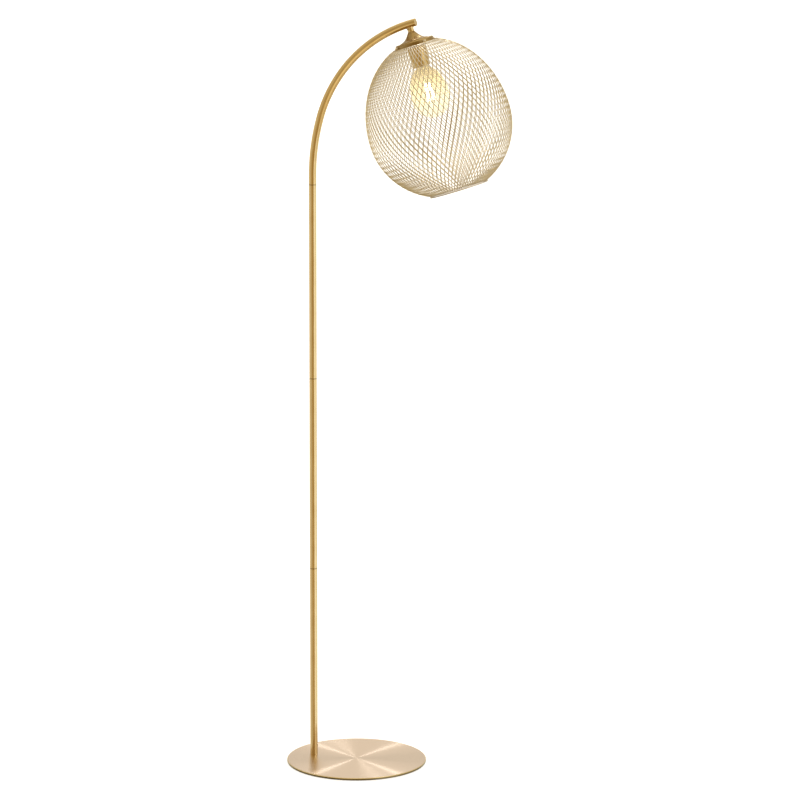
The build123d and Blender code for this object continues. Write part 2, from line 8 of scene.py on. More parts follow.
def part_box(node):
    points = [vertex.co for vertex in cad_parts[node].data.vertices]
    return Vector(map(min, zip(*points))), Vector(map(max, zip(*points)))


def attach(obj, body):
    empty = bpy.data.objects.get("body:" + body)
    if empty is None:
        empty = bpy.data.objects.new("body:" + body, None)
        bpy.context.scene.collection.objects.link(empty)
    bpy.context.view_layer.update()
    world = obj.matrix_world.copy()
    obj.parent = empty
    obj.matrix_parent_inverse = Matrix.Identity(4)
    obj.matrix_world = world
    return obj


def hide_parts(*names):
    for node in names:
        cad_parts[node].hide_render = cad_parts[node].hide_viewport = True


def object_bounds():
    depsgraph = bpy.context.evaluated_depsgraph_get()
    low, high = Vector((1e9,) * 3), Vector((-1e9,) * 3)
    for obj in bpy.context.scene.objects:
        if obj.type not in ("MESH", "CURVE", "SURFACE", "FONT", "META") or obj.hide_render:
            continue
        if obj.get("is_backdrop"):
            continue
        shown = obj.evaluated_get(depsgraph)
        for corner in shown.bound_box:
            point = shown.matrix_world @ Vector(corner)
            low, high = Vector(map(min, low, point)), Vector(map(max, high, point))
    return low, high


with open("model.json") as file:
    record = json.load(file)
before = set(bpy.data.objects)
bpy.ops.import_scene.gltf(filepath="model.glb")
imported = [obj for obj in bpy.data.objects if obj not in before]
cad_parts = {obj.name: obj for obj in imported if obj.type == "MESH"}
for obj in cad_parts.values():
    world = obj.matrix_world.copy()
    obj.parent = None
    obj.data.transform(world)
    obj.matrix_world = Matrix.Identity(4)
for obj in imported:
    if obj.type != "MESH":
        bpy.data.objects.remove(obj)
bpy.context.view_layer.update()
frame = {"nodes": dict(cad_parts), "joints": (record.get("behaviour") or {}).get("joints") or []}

# ---------------------------------------------------------------- camera
# It stands to the right of the lamp's front, higher than the globe, and looks down on the foot.
# The long lens keeps the post upright in the square picture.
camera_side = math.radians(18.0)
camera_distance = 7.486
camera_height = 2.255
camera_pitch = math.radians(11.04)
camera_yaw = math.radians(17.295)
camera_roll = math.radians(0.12)
camera_data = bpy.data.cameras.new("photo_camera")
camera_data.lens = 162.0
camera_data.sensor_width = 36.0
camera_data.clip_end = 200.0
camera = bpy.data.objects.new("photo_camera", camera_data)
bpy.context.scene.collection.objects.link(camera)
camera.location = (
    camera_distance * math.sin(camera_side),
    -camera_distance * math.cos(camera_side),
    camera_height,
)
aim = Matrix.Rotation(camera_yaw, 3, "Z") @ Matrix.Rotation(math.pi / 2 - camera_pitch, 3, "X")
camera.rotation_euler = (aim @ Matrix.Rotation(camera_roll, 3, "Z")).to_euler()
bpy.context.scene.camera = camera
bpy.context.scene.view_settings.view_transform = "Standard"


# ---------------------------------------------------------------- floor
# A plain white studio floor that runs on past the back of the picture.
# It isn't part of the lamp.
def new_material(name):
    """A new material with nodes."""
    material = bpy.data.materials.new(name)
    material.use_nodes = True
    return material


def shader_of(material):
    """The shader node of a material."""
    return material.node_tree.nodes["Principled BSDF"]


def mesh_piece(name, points, faces, material, smooth=True):
    """A mesh object made from its corners and faces."""
    mesh = bpy.data.meshes.new(name)
    mesh.from_pydata([tuple(point) for point in points], [], faces)
    mesh.materials.append(material)
    mesh.polygons.foreach_set("use_smooth", [smooth] * len(mesh.polygons))
    mesh.update()
    piece = bpy.data.objects.new(name, mesh)
    bpy.context.scene.collection.objects.link(piece)
    return piece


floor_white = new_material("floor_white")
shader = shader_of(floor_white)
shader.inputs["Base Color"].default_value = (0.93, 0.93, 0.925, 1)
shader.inputs["Roughness"].default_value = 0.75
shader.inputs["Specular IOR Level"].default_value = 0.2
shader.inputs["Emission Color"].default_value = (1, 1, 1, 1)
shader.inputs["Emission Strength"].default_value = 0.7
floor_half = 60.0
floor_corners = [(x * floor_half, y * floor_half, 0) for x, y in ((-1, -1), (1, -1), (1, 1), (-1, 1))]
floor = mesh_piece("studio_floor", floor_corners, [(0, 1, 2, 3)], floor_white, smooth=False)
floor.visible_glossy = False
floor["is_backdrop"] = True

# ---------------------------------------------------------------- studio light
# A room whose walls run from dark cards to white screens, so that round metal shows bright bands between
# dark lines. A pale ceiling slopes down behind the lamp, and three distant lamps there draw the rays on
# the brushed foot.
world = bpy.data.worlds.new("studio")
bpy.context.scene.world = world
world.use_nodes = True
tree = world.node_tree


def number_node(tree, operation, first, second=None):
    """A maths node; its inputs are numbers or the outputs of other nodes."""
    node = tree.nodes.new("ShaderNodeMath")
    node.operation = operation
    for socket, value in zip(node.inputs, (first, second)):
        if isinstance(value, (int, float)):
            socket.default_value = value
        elif value is not None:
            tree.links.new(value, socket)
    return node.outputs[0]


def parts_of(tree, place):
    """The X, Y and Z of a coordinate."""
    node = tree.nodes.new("ShaderNodeSeparateXYZ")
    tree.links.new(place, node.inputs[0])
    return node.outputs[0], node.outputs[1], node.outputs[2]


def colour_band(tree, value, stops):
    """A colour for each value, from a list of (position, colour)."""
    node = tree.nodes.new("ShaderNodeValToRGB")
    tree.links.new(value, node.inputs[0])
    ramp = node.color_ramp
    for n in (0, -1):
        ramp.elements[n].position = stops[n][0]
        ramp.elements[n].color = (*stops[n][1], 1)
    for position, colour in stops[1:-1]:
        ramp.elements.new(position).color = (*colour, 1)
    return node.outputs[0]


def mix_colours(tree, share, first, second):
    """Goes from the first colour to the second as the share grows; each is a colour or a node's output."""
    node = tree.nodes.new("ShaderNodeMix")
    node.data_type = "RGBA"
    tree.links.new(share, node.inputs["Factor"])
    for name, colour in (("A", first), ("B", second)):
        if isinstance(colour, tuple):
            node.inputs[name].default_value = (*colour, 1)
        else:
            tree.links.new(colour, node.inputs[name])
    return node.outputs["Result"]


room_x, room_y, room_z = parts_of(tree, tree.nodes.new("ShaderNodeTexCoord").outputs["Generated"])
bearing = number_node(tree, "ARCTAN2", room_x, number_node(tree, "MULTIPLY", room_y, -1.0))
bearing = number_node(tree, "SUBTRACT", bearing, camera_side)
turn_share = number_node(tree, "ADD", number_node(tree, "DIVIDE", bearing, 2 * math.pi), 0.5)
turn_share = number_node(tree, "FRACT", turn_share)
# Each band gives the room's colour at a bearing in degrees. As the camera sees it, 0 is behind the lamp,
# 90 is on the left, 180 is on the camera's side and 270 is on the right.
wall_bands = [
    (0, (0.95, 0.94, 0.90)), (60, (0.80, 0.75, 0.66)), (92, (0.70, 0.64, 0.55)),
    (120, (0.60, 0.53, 0.42)), (150, (0.50, 0.38, 0.21)), (176, (0.40, 0.28, 0.12)),
    (194, (0.38, 0.26, 0.11)), (208, (0.50, 0.40, 0.25)), (220, (1.08, 1.04, 1.0)),
    (252, (1.12, 1.10, 1.06)), (272, (0.78, 0.78, 0.78)), (296, (0.85, 0.85, 0.85)),
    (320, (1.1, 1.1, 1.08)), (360, (0.95, 0.94, 0.90)),
]
upper_bands = [
    (0, (1.10, 1.01, 0.87)), (1.4, (1.05, 0.96, 0.82)), (3.4, (0.60, 0.55, 0.46)),
    (32, (0.56, 0.50, 0.40)), (90, (0.66, 0.58, 0.45)), (125, (0.50, 0.40, 0.24)),
    (150, (0.36, 0.25, 0.10)), (205, (0.36, 0.25, 0.10)), (218, (0.80, 0.72, 0.58)),
    (228, (1.10, 1.04, 0.92)), (250, (1.10, 1.04, 0.92)), (266, (0.66, 0.58, 0.45)),
    (328, (0.56, 0.50, 0.40)), (356.6, (0.60, 0.55, 0.46)), (358.6, (1.05, 0.96, 0.82)),
    (360, (1.10, 1.01, 0.87)),
]
lower_bands = [
    (0, (0.30, 0.22, 0.12)), (90, (0.28, 0.23, 0.15)), (138, (0.28, 0.23, 0.15)),
    (156, (1.0, 0.84, 0.58)), (270, (0.95, 0.84, 0.66)), (360, (0.30, 0.22, 0.12)),
]
walls, upper_walls, lower_walls = [
    colour_band(tree, turn_share, [(degrees / 360, colour) for degrees, colour in bands])
    for bands in (wall_bands, upper_bands, lower_bands)
]
zenith_colour = (0.95, 0.82, 0.58)
ceiling_colour = (0.95, 0.87, 0.74)
ceiling_rise = 0.8
ceiling_back = 0.6
downward = number_node(tree, "MULTIPLY", room_z, -1.0)
backward = number_node(
    tree, "SUBTRACT",
    number_node(tree, "MULTIPLY", room_y, ceiling_back * math.cos(camera_side)),
    number_node(tree, "MULTIPLY", room_x, ceiling_back * math.sin(camera_side)),
)
ceilingward = number_node(tree, "ADD", number_node(tree, "MULTIPLY", room_z, ceiling_rise), backward)
# Each layer begins to cover the room where its value passes the first number, and is full at the second.
layers = (
    (room_z, 0.0, 0.08, upper_walls),
    (room_z, 0.86, 0.95, zenith_colour),
    (ceilingward, 0.82, 0.90, ceiling_colour),
    (downward, 0.3, 0.5, lower_walls),
)
room = walls
for value, start, full, colour in layers:
    cover = colour_band(tree, value, [(start, (0, 0, 0)), (full, (1, 1, 1))])
    room = mix_colours(tree, cover, room, colour)
tree.links.new(room, tree.nodes["Background"].inputs["Color"])


def distant_lamp(name, bearing, elevation, power, width):
    """A far light; its bearing starts at the camera's side and its width is the angle it fills."""
    data = bpy.data.lights.new(name, "SUN")
    data.energy = power
    data.angle = math.radians(width)
    data.use_shadow = False
    light = bpy.data.objects.new(name, data)
    bpy.context.scene.collection.objects.link(light)
    turn = camera_side + math.radians(bearing)
    rise = math.radians(elevation)
    way = Vector((math.cos(rise) * math.sin(turn), -math.cos(rise) * math.cos(turn), math.sin(rise)))
    light.rotation_euler = way.to_track_quat("Z", "Y").to_euler()


distant_lamp("right_ray_lamp", bearing=166.2, elevation=41.0, power=0.085, width=0.5)
distant_lamp("left_ray_lamp", bearing=-166.2, elevation=41.0, power=0.085, width=0.5)
distant_lamp("broad_ray_lamp", bearing=171.9, elevation=48.5, power=0.07, width=7.0)

# ---------------------------------------------------------------- foot
# A 300 mm steel disc in brushed brass finish, with a bevelled rim, on a thin felt pad that keeps the floor
# safe. It is brushed while it spins, so its scratches are circles round its middle and it shines in
# straight rays.
scratch_scale = 1400.0
scratch_turn = 0.004
noise_low = 0.3
noise_high = 0.7


def object_place(tree):
    """The place on the lamp, in metres, as a texture coordinate."""
    return tree.nodes.new("ShaderNodeTexCoord").outputs["Object"]


def noise(tree, place, scale, detail=3.0, roughness=0.5):
    """Noise at a place, mostly between noise_low and noise_high; the scale is its cells for each metre."""
    node = tree.nodes.new("ShaderNodeTexNoise")
    tree.links.new(place, node.inputs["Vector"])
    node.inputs["Scale"].default_value = scale
    node.inputs["Detail"].default_value = detail
    node.inputs["Roughness"].default_value = roughness
    return node.outputs["Fac"]


def spread(tree, value, low, high, to_low, to_high):
    """A value moved from one range to another."""
    node = tree.nodes.new("ShaderNodeMapRange")
    tree.links.new(value, node.inputs["Value"])
    for name, number in (("From Min", low), ("From Max", high), ("To Min", to_low), ("To Max", to_high)):
        node.inputs[name].default_value = number
    return node.outputs[0]


def raise_surface(tree, shader, height, distance, strength=1.0):
    """Bump on a shader from a height value."""
    node = tree.nodes.new("ShaderNodeBump")
    tree.links.new(height, node.inputs["Height"])
    node.inputs["Distance"].default_value = distance
    node.inputs["Strength"].default_value = strength
    tree.links.new(node.outputs[0], shader.inputs["Normal"])


def round_place(tree, place, around, upright=True):
    """A place as (radius, place on the axis, turn times around); the axis is Z if upright, and else Y.

    The shorter the length around that stands for a radian, the longer the marks run round the axis.
    """
    x, y, z = parts_of(tree, place)
    across, along = (y, z) if upright else (z, y)
    squares = [number_node(tree, "MULTIPLY", side, side) for side in (x, across)]
    radius = number_node(tree, "SQRT", number_node(tree, "ADD", *squares))
    turn = number_node(tree, "ARCTAN2", across, x)
    join = tree.nodes.new("ShaderNodeCombineXYZ")
    tree.links.new(radius, join.inputs[0])
    tree.links.new(along, join.inputs[1])
    tree.links.new(number_node(tree, "MULTIPLY", turn, around), join.inputs[2])
    return join.outputs[0]


def finish_nodes(material, *names):
    """Gives CAD nodes their material."""
    for name in names:
        mesh = frame["nodes"][name].data
        mesh.materials.clear()
        mesh.materials.append(material)


brushed_foot = new_material("brushed_foot")
tree, shader = brushed_foot.node_tree, shader_of(brushed_foot)
circles = round_place(tree, object_place(tree), scratch_turn)
scratches = noise(tree, circles, scratch_scale, detail=4.0, roughness=0.65)
# The disc's face looks straight up; the bevel has painted shade, darker as it looks less upward.
upward = parts_of(tree, tree.nodes.new("ShaderNodeNewGeometry").outputs["Normal"])[2]
bevel_painted_shade = colour_band(tree, upward, [(0.2, (0.22, 0.17, 0.08)), (0.5, (0.90, 0.74, 0.40))])
face_colour = colour_band(
    tree, scratches, [(noise_low, (0.72, 0.585, 0.46)), (noise_high, (0.83, 0.69, 0.57))])
face_share = spread(tree, upward, 0.9, 0.98, 0, 1)
tree.links.new(mix_colours(tree, face_share, bevel_painted_shade, face_colour), shader.inputs["Base Color"])
tree.links.new(spread(tree, scratches, noise_low, noise_high, 0.20, 0.24), shader.inputs["Roughness"])
shader.inputs["Metallic"].default_value = 1.0
shader.inputs["Anisotropic"].default_value = 1.0
shader.inputs["Anisotropic Rotation"].default_value = 0.25
tangent = tree.nodes.new("ShaderNodeTangent")
tangent.direction_type = "RADIAL"
tangent.axis = "Z"
tree.links.new(tangent.outputs[0], shader.inputs["Tangent"])
raise_surface(tree, shader, scratches, distance=0.000005, strength=0.1)
finish_nodes(brushed_foot, "base_plate")

black_felt = new_material("black_felt")
tree, shader = black_felt.node_tree, shader_of(black_felt)
fibres = noise(tree, object_place(tree), 900.0, detail=6.0, roughness=0.7)
fibre_colour = colour_band(
    tree, fibres, [(noise_low, (0.02, 0.018, 0.016)), (noise_high, (0.07, 0.065, 0.06))])
tree.links.new(fibre_colour, shader.inputs["Base Color"])
shader.inputs["Roughness"].default_value = 0.95
shader.inputs["Sheen Weight"].default_value = 0.4
raise_surface(tree, shader, fibres, distance=0.0003)
finish_nodes(black_felt, "base_pad")

# ---------------------------------------------------------------- post
# Three 16 mm brass-finished tubes with a hair seam where one screws onto the next, drawn and polished
# lengthwise. The streaks run along each tube, a few tenths of a millimetre wide. Zinc-plated studs and
# sockets inside hold the tubes together.
tubes = ("lower_tube", "middle_tube", "upper_tube")
post_low, post_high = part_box("middle_tube")
post_x = (post_low.x + post_high.x) / 2
streak_scale = 900.0
streak_stretch = 0.02
streak_depth = 0.00003
cloud_scale = 30.0
cloud_share = 0.4
tone_low = 0.45
tone_high = 0.9
seam_dark_half = 0.0005
seam_fade_half = 0.0009
seam_brown = (0.30, 0.20, 0.08)


def stretched_place(tree, place, shift, scale):
    """A coordinate moved and stretched along its axes."""
    node = tree.nodes.new("ShaderNodeMapping")
    tree.links.new(place, node.inputs["Vector"])
    node.inputs["Location"].default_value = [-s * k for s, k in zip(shift, scale)]
    node.inputs["Scale"].default_value = scale
    return node.outputs[0]


def satin_brass(tree, shader, streaks, clouds, deep, bright, rough_low, rough_high):
    """Polished brass whose tone follows fine streaks and faint clouds."""
    tone = number_node(tree, "ADD", streaks, number_node(tree, "MULTIPLY", clouds, cloud_share))
    colour = colour_band(tree, tone, [(tone_low, deep), (tone_high, bright)])
    roughness = spread(tree, streaks, noise_low, noise_high, rough_low, rough_high)
    tree.links.new(colour, shader.inputs["Base Color"])
    tree.links.new(roughness, shader.inputs["Roughness"])
    shader.inputs["Metallic"].default_value = 1.0
    raise_surface(tree, shader, streaks, distance=streak_depth, strength=0.4)


def shade_seams(tree, shader):
    """Darkens the bevel, about a millimetre high, where one tube meets the next."""
    height = parts_of(tree, object_place(tree))[2]
    gaps = [number_node(tree, "SUBTRACT", height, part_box(tube)[1].z) for tube in tubes]
    nearest, *others = [number_node(tree, "ABSOLUTE", gap) for gap in gaps]
    for gap in others:
        nearest = number_node(tree, "MINIMUM", nearest, gap)
    share = spread(tree, nearest, seam_dark_half, seam_fade_half, 1.0, 0.0)
    colour = shader.inputs["Base Color"]
    tree.links.new(mix_colours(tree, share, colour.links[0].from_socket, seam_brown), colour)


def mottled_material(name, scale, dark, light, roughness, metallic=0.0, bump=0.0,
                     limits=(noise_low, noise_high)):
    """A material whose colour goes from dark to light in small spots, between two limits of their noise.

    The roughness follows the spots too where it is a pair, and a bump raises them.
    """
    material = new_material(name)
    tree, shader = material.node_tree, shader_of(material)
    spots = noise(tree, object_place(tree), scale)
    spot_colour = colour_band(tree, spots, [(limits[0], dark), (limits[1], light)])
    tree.links.new(spot_colour, shader.inputs["Base Color"])
    shader.inputs["Metallic"].default_value = metallic
    if isinstance(roughness, tuple):
        tree.links.new(spread(tree, spots, noise_low, noise_high, *roughness), shader.inputs["Roughness"])
    else:
        shader.inputs["Roughness"].default_value = roughness
    if bump:
        raise_surface(tree, shader, spots, distance=bump)
    return material


post_brass = new_material("post_brass")
tree, shader = post_brass.node_tree, shader_of(post_brass)
along_post = stretched_place(tree, object_place(tree), (post_x, 0, 0), (1.0, 1.0, streak_stretch))
satin_brass(
    tree, shader, noise(tree, along_post, streak_scale), noise(tree, object_place(tree), cloud_scale),
    deep=(0.78, 0.58, 0.27), bright=(0.94, 0.76, 0.43), rough_low=0.16, rough_high=0.26,
)
shade_seams(tree, shader)
finish_nodes(post_brass, *tubes)

zinc_steel = mottled_material(
    "zinc_steel", scale=300.0, dark=(0.42, 0.42, 0.41), light=(0.62, 0.61, 0.58),
    roughness=0.35, metallic=1.0,
)
finish_nodes(
    zinc_steel, "foot_screw", "foot_insert", "lower_stud", "middle_stud", "upper_stud", "middle_socket",
    "upper_socket", "arm_socket", "centre_nipple", "plate_nut", "cup_nut", "shade_nuts",
)

black_rubber = mottled_material(
    "black_rubber", scale=1500.0, dark=(0.015, 0.015, 0.015), light=(0.035, 0.035, 0.035),
    roughness=0.6, bump=0.00005,
)
finish_nodes(black_rubber, "cord_gland")

# ---------------------------------------------------------------- arm
# The same tube, bent: nearly straight where it leaves the post, then a tighter arc to its plugged end.
# Its polishing streaks follow the bend.
arm_radius = 0.297
arm_middle = Vector((0.2056, 0, 1.3106))
arm_brass = new_material("arm_brass")
tree, shader = arm_brass.node_tree, shader_of(arm_brass)
from_middle = stretched_place(tree, object_place(tree), arm_middle, (1.0, 1.0, 1.0))
along_arm = round_place(tree, from_middle, streak_stretch * arm_radius, upright=False)
satin_brass(
    tree, shader, noise(tree, along_arm, streak_scale), noise(tree, object_place(tree), cloud_scale),
    deep=(0.74, 0.53, 0.22), bright=(0.90, 0.70, 0.36), rough_low=0.11, rough_high=0.19,
)
shade_seams(tree, shader)
finish_nodes(arm_brass, "arm_tube", "arm_end_plug", "neck_boss")

# ---------------------------------------------------------------- cap, plate and cup on the neck
# A spun trumpet cap, a pressed plate and a spun cup, all of sheet brass and clamped on one hollow threaded
# rod. Their turning marks run round the neck's axis, which the bulb's own joint gives.
mark_scale = 1100.0
mark_turn = 0.0006
neck_cloud_scale = 40.0
bulb_joint = [joint for joint in frame["joints"] if joint["name"] == "bulb_turn"][0]
neck_up = -Vector(bulb_joint["axis"])
neck_side = Vector((0, 1, 0))
neck_front = neck_side.cross(neck_up)
neck_place = Vector(bulb_joint["pos_m"])
hang = Matrix.Translation(neck_place) @ Matrix((neck_front, neck_side, neck_up)).transposed().to_4x4()
to_neck = hang.inverted()


def heights(name):
    """The lowest and highest place of a CAD node along the neck's axis, from the bulb joint's point."""
    along = [(to_neck @ vertex.co).z for vertex in frame["nodes"][name].data.vertices]
    return min(along), max(along)


def neck_coordinate(tree):
    """The place as seen along the neck's axis, in metres."""
    node = tree.nodes.new("ShaderNodeMapping")
    node.vector_type = "TEXTURE"
    tree.links.new(object_place(tree), node.inputs["Vector"])
    node.inputs["Location"].default_value = neck_place
    node.inputs["Rotation"].default_value = hang.to_euler()
    return node.outputs[0]


def turned_brass(name, deep, bright, rough_low, rough_high):
    """Sheet brass with the marks of a polish that turned round the neck's axis."""
    material = new_material(name)
    tree = material.node_tree
    marks = noise(tree, round_place(tree, neck_coordinate(tree), mark_turn), mark_scale)
    clouds = noise(tree, object_place(tree), neck_cloud_scale)
    satin_brass(tree, shader_of(material), marks, clouds, deep, bright, rough_low, rough_high)
    return material


# The cap, the plate and the top ring take a darker copy of the brass, as painted shade.
shaded_cap_brass = turned_brass(
    "shaded_cap_brass", deep=(0.38, 0.255, 0.10), bright=(0.53, 0.385, 0.175), rough_low=0.24, rough_high=0.34)
finish_nodes(shaded_cap_brass, "bell_cap", "shade_plate", "shade_top_ring")

cup_brass = turned_brass(
    "cup_brass", deep=(0.68, 0.47, 0.17), bright=(0.95, 0.74, 0.36), rough_low=0.12, rough_high=0.22)
finish_nodes(cup_brass, "holder_cup")

# The screw heads take a near-white brass, a painted highlight.
screw_highlight_brass = mottled_material(
    "screw_highlight_brass", scale=700.0, dark=(0.94, 0.84, 0.62), light=(1.0, 0.94, 0.78),
    roughness=0.4, metallic=1.0,
)
finish_nodes(screw_highlight_brass, "shade_screws")

# ---------------------------------------------------------------- globe
# One sheet of brass, slit and pulled open into fine diamonds and drawn into a globe with an open mouth.
# A strand keeps its length between crossings, so the diamonds grow narrow towards the top and the mouth.
# The cut edges of the strands carry a brighter gold than their faces, a painted glint.
globe_radius = 0.151
globe_upper_rise = 0.1845
globe_lower_drop = 0.1495
globe_top_radius = 0.0505
globe_mouth_radius = 0.062
strand_count = 83
strand_width = 0.0014
strand_thickness = 0.0005
strand_twist = 0.0003
strand_slope = math.radians(25.5)
selvage = 0.0022
globe_top = heights("shade_mesh")[1]
top_turn = math.asin(globe_top_radius / globe_radius)
mouth_turn = math.pi - math.asin(globe_mouth_radius / globe_radius)
globe_middle = globe_top - globe_upper_rise * math.cos(top_turn)


def neck_point(radius, bearing, height):
    """A point of the lamp from its radius, bearing and height on the neck's axis."""
    return hang @ Vector((radius * math.cos(bearing), radius * math.sin(bearing), height))


def globe_rise(turn):
    """Half the height of the ellipse that this part of the outline follows."""
    return globe_upper_rise if turn < math.pi / 2 else globe_lower_drop


def globe_point(turn, bearing, depth):
    """A point of the globe: turn from its top down, bearing round it, depth inwards from the outside."""
    rise = globe_rise(turn)
    across = rise * math.sin(turn)
    along = globe_radius * math.cos(turn)
    length = math.hypot(across, along)
    radius = globe_radius * math.sin(turn) - depth * across / length
    height = globe_middle + rise * math.cos(turn) - depth * along / length
    return neck_point(radius, bearing, height)


def outline_speed(turn):
    """How far the outline runs for each radian of turn."""
    return math.hypot(globe_radius * math.cos(turn), globe_rise(turn) * math.sin(turn))


def strand_slant(turn):
    """The angle between a strand and the outline."""
    return math.asin(math.sin(strand_slope) * math.sin(turn))


# The rows of crossings lie where a strand, followed from the top to the mouth in fine steps, has run equal
# lengths.
net_start = top_turn + selvage / outline_speed(top_turn)
net_end = mouth_turn - selvage / outline_speed(mouth_turn)
fine_steps = 2000
fine_turn = (net_end - net_start) / fine_steps
strand_run = [0.0]
for step in range(fine_steps):
    here = net_start + (step + 0.5) * fine_turn
    strand_run.append(strand_run[-1] + outline_speed(here) / math.cos(strand_slant(here)) * fine_turn)
half_step = math.pi / strand_count
bar_length = globe_radius * half_step / math.sin(strand_slope)
row_count = round(strand_run[-1] / bar_length)
row_turns = []
step = 0
for row in range(row_count + 1):
    target = strand_run[-1] * row / row_count
    while step < fine_steps - 1 and strand_run[step + 1] < target:
        step += 1
    into_step = (target - strand_run[step]) / (strand_run[step + 1] - strand_run[step])
    row_turns.append(net_start + (step + into_step) * fine_turn)

net_points = []
net_faces = []
cut_faces = []
spot_index = {}
# Pulling the sheet open twists it: the upper corner of a crossing lies deepest and the lower one outermost.
sink = {"up": 2, "down": 0, "left": 1, "right": 1, "edge_left": 1, "edge_right": 1}


def spot(row, column, side, inner):
    """The number of a corner of the crossing at this row and half column, outside or inside."""
    column %= 2 * strand_count
    key = (row, column, side, inner)
    if key not in spot_index:
        turn = row_turns[row]
        slant = strand_slant(turn)
        bearing = column * half_step
        depth = strand_twist * sink[side] + strand_thickness * inner
        if side in ("up", "down"):
            turn += (1 if side == "down" else -1) * strand_width / 2 / math.sin(slant) / outline_speed(turn)
        else:
            slide = strand_width / 2 / math.cos(slant) / (globe_radius * math.sin(turn))
            bearing += slide if side.endswith("right") else -slide
            if side.startswith("edge"):
                turn = top_turn if row == 0 else mouth_turn
        spot_index[key] = len(net_points)
        net_points.append(globe_point(turn, bearing, depth))
    return spot_index[key]


def net_sheet(*corners):
    """The outer and the inner face of one bit of the sheet."""
    net_faces.append([spot(*corner, 0) for corner in corners])
    net_faces.append([spot(*corner, 1) for corner in reversed(corners)])


def net_edge(first, second):
    """The cut edge between two corners of the sheet."""
    cut_faces.append([spot(*first, 0), spot(*first, 1), spot(*second, 1), spot(*second, 0)])


for row in range(row_count + 1):
    for column in range(row % 2, 2 * strand_count, 2):
        up, down = (row, column, "up"), (row, column, "down")
        left, right = (row, column, "left"), (row, column, "right")
        if 0 < row < row_count:
            net_sheet(up, left, down, right)
        if row < row_count:
            for way, near, far_name in ((1, right, "left"), (-1, left, "right")):
                far_up = (row + 1, column + way, "up")
                far_side = (row + 1, column + way, far_name)
                corners = (near, down, far_side, far_up)
                net_sheet(*(corners if way == 1 else reversed(corners)))
                net_edge(near, far_up)
                net_edge(down, far_side)
        if row in (0, row_count):
            inner = down if row == 0 else up
            edge_left, edge_right = (row, column, "edge_left"), (row, column, "edge_right")
            next_left, next_edge = (row, column + 2, "left"), (row, column + 2, "edge_left")
            net_sheet(left, inner, right)
            net_sheet(edge_left, left, right, edge_right)
            net_sheet(edge_right, right, next_left, next_edge)
            net_edge(edge_left, edge_right)
            net_edge(edge_right, next_edge)
            net_edge(right, next_left)

net_spots = 350.0
net_limits = (0.35, 0.65)
net_brass = mottled_material(
    "net_brass", scale=net_spots, dark=(0.60, 0.53, 0.41), light=(0.77, 0.70, 0.57),
    roughness=(0.3, 0.4), metallic=1.0, limits=net_limits,
)
# The cut edges take a brighter copy of the net's brass: a painted glint.
cut_brass = mottled_material(
    "cut_brass", scale=net_spots, dark=(0.97, 0.84, 0.54), light=(1.0, 0.93, 0.68),
    roughness=0.5, metallic=1.0, limits=net_limits,
)
globe_net = mesh_piece("globe_net", net_points, net_faces + cut_faces, net_brass, smooth=False)
globe_net.data.materials.append(cut_brass)
globe_net.data.polygons.foreach_set("material_index", [0] * len(net_faces) + [1] * len(cut_faces))
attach(globe_net, "lamp")
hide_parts("shade_mesh")

# ---------------------------------------------------------------- rim of the mouth
# A round brass wire bent into a ring and spot-welded under the net's lower edge.
# It is as thick as the square ring of the CAD that it replaces.
rim_low, rim_high = heights("shade_bottom_ring")
rim_middle = (rim_low + rim_high) / 2
wire_radius = (rim_high - rim_low) / 2
rim_steps = 160
wire_steps = 14
rim_points = []
rim_faces = []
for n in range(rim_steps):
    bearing = 2 * math.pi * n / rim_steps
    for k in range(wire_steps):
        angle = 2 * math.pi * k / wire_steps
        radius = globe_mouth_radius + wire_radius * math.cos(angle)
        height = rim_middle + wire_radius * math.sin(angle)
        rim_points.append(neck_point(radius, bearing, height))
        near, far = n * wire_steps, (n + 1) % rim_steps * wire_steps
        after = (k + 1) % wire_steps
        rim_faces.append((near + k, far + k, far + after, near + after))
rim = mesh_piece("mouth_rim", rim_points, rim_faces, net_brass)
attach(rim, "lamp")
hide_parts("shade_bottom_ring")

# ---------------------------------------------------------------- lamp holder
# Black moulded shells inside the brass cup, with a brass screw shell and sprung brass contacts.
# The cup hides most of it. The cable's two cores end at its terminal screws.
black_moulding = mottled_material(
    "black_moulding", scale=1200.0, dark=(0.02, 0.02, 0.02), light=(0.045, 0.044, 0.042),
    roughness=0.45, bump=0.00004,
)
finish_nodes(black_moulding, "holder_cap", "holder_skirt", "contact_block")

bright_brass = mottled_material(
    "bright_brass", scale=400.0, dark=(0.62, 0.43, 0.14), light=(0.8, 0.6, 0.26),
    roughness=0.25, metallic=1.0,
)
finish_nodes(bright_brass, "screw_shell", "centre_contact", "side_contact", "terminal_screws")

dark_sheath = mottled_material(
    "dark_sheath", scale=900.0, dark=(0.03, 0.025, 0.02), light=(0.07, 0.06, 0.05),
    roughness=0.5,
)
finish_nodes(dark_sheath, "inner_cable", "core_wires")

# ---------------------------------------------------------------- bulb cap
# A thin plated cap with a rolled screw thread, black glass insulation at its end and a tin contact in its
# middle. It is crimped and cemented round the neck of the bulb.
cap_low, cap_high = heights("bulb_cap")
cap_radius = 0.01315
inch = 0.0254
threads_per_inch = 7
thread_pitch = inch / threads_per_inch
thread_depth = 0.0007
plain_band = 0.0025
cone_height = 0.0027
cone_radius = 0.0115
lip_width = 0.001
lip_drop = 0.0002
cap_steps = 96
cap_rings = 90
cap_points = []
cap_faces = []
thread_high = cap_high - cone_height
for n in range(cap_rings + 1):
    height = cap_low + (thread_high - cap_low) * n / cap_rings
    fade = min(1.0, (height - cap_low) / plain_band, (thread_high - height) / plain_band)
    for k in range(cap_steps):
        bearing = 2 * math.pi * k / cap_steps
        wave = 0.5 + 0.5 * math.cos(2 * math.pi * height / thread_pitch - bearing)
        radius = cap_radius - thread_depth * (1 - wave) * max(0.0, fade)
        cap_points.append(neck_point(radius, bearing, height))
